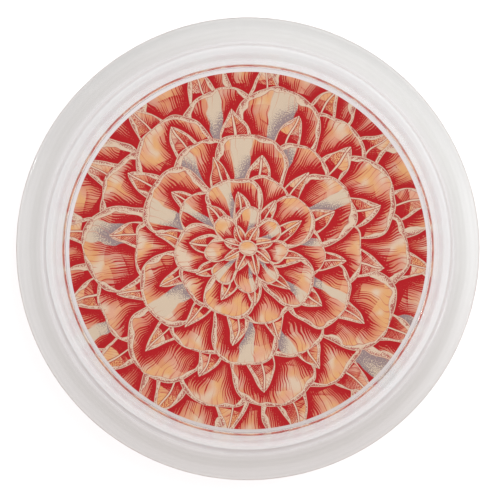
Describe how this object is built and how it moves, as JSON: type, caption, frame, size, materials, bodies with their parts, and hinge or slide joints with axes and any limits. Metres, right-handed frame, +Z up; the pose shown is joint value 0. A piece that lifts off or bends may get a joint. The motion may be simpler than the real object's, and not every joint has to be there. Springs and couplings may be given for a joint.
{
  "type": "glass coaster",
  "caption": "Round clear glass coaster: sunken floor, short wall and wide flat rim, with a printed sheet glued under the floor and a felt base.",
  "frame": {"origin": "centre of the felt base's underside, on the table", "axes": "+Z up along the axis that the glass is turned about; X and Y lie in the table's plane"},
  "size_m": [0.114, 0.114, 0.0159],
  "materials": {
    "clear_glass": "fire polished, slightly wavy",
    "printed_paper": "matt art paper printed in coral red, peach and cream, wetted out by the adhesive under the glass",
    "wool_felt": "pressed wool felt"
  },
  "bodies": {
    "root": {"glass_dish": "clear_glass", "printed_sheet": "printed_paper", "felt_base": "wool_felt"}
  },
  "joints": []
}
